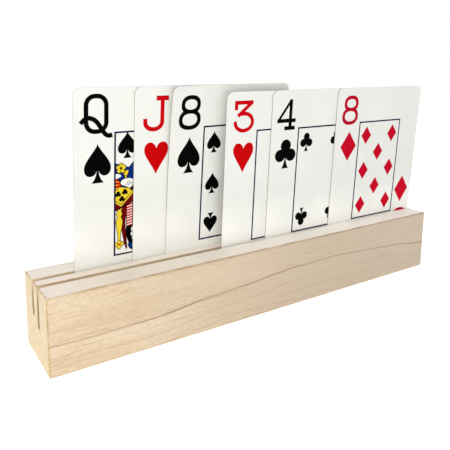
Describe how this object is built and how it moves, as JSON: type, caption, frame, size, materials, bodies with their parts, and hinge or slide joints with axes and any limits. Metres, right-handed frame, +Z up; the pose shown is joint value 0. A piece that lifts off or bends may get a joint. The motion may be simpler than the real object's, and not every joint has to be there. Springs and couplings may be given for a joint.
{
  "type": "playing card holder",
  "caption": "Square hardwood bar with two long saw-kerf slots that holds a hand of playing cards upright in two rows.",
  "frame": {"origin": "centre of the bar's underside, where it rests on the table", "axes": "+X along the bar to the viewer's right, +Y towards the back of the bar, away from the player, +Z up"},
  "size_m": [0.2134, 0.0318, 0.1062],
  "materials": {
    "maple": "satin, sanded and lightly oiled",
    "card_stock": "coated, semi-gloss, printed"
  },
  "bodies": {
    "holder": {"holder_block": "maple"},
    "queen_of_spades": {"queen_of_spades": "card_stock"},
    "jack_of_hearts": {"jack_of_hearts": "card_stock"},
    "eight_of_spades": {"eight_of_spades": "card_stock"},
    "three_of_hearts": {"three_of_hearts": "card_stock"},
    "four_of_clubs": {"four_of_clubs": "card_stock"},
    "eight_of_diamonds": {"eight_of_diamonds": "card_stock"}
  },
  "joints": [
    {"name": "queen_of_spades_lift", "type": "slide", "parent": "holder", "child": "queen_of_spades", "axis": [0, -0.0767, 0.9971], "range_m": [0, 0.016]},
    {"name": "jack_of_hearts_lift", "type": "slide", "parent": "holder", "child": "jack_of_hearts", "axis": [0, -0.0767, 0.9971], "range_m": [0, 0.016]},
    {"name": "eight_of_spades_lift", "type": "slide", "parent": "holder", "child": "eight_of_spades", "axis": [0, -0.0767, 0.9971], "range_m": [0, 0.016]},
    {"name": "three_of_hearts_lift", "type": "slide", "parent": "holder", "child": "three_of_hearts", "axis": [0, -0.0523, 0.9986], "range_m": [0, 0.02]},
    {"name": "four_of_clubs_lift", "type": "slide", "parent": "holder", "child": "four_of_clubs", "axis": [0, -0.0523, 0.9986], "range_m": [0, 0.02]},
    {"name": "eight_of_diamonds_lift", "type": "slide", "parent": "holder", "child": "eight_of_diamonds", "axis": [0, -0.0523, 0.9986], "range_m": [0, 0.02]}
  ]
}
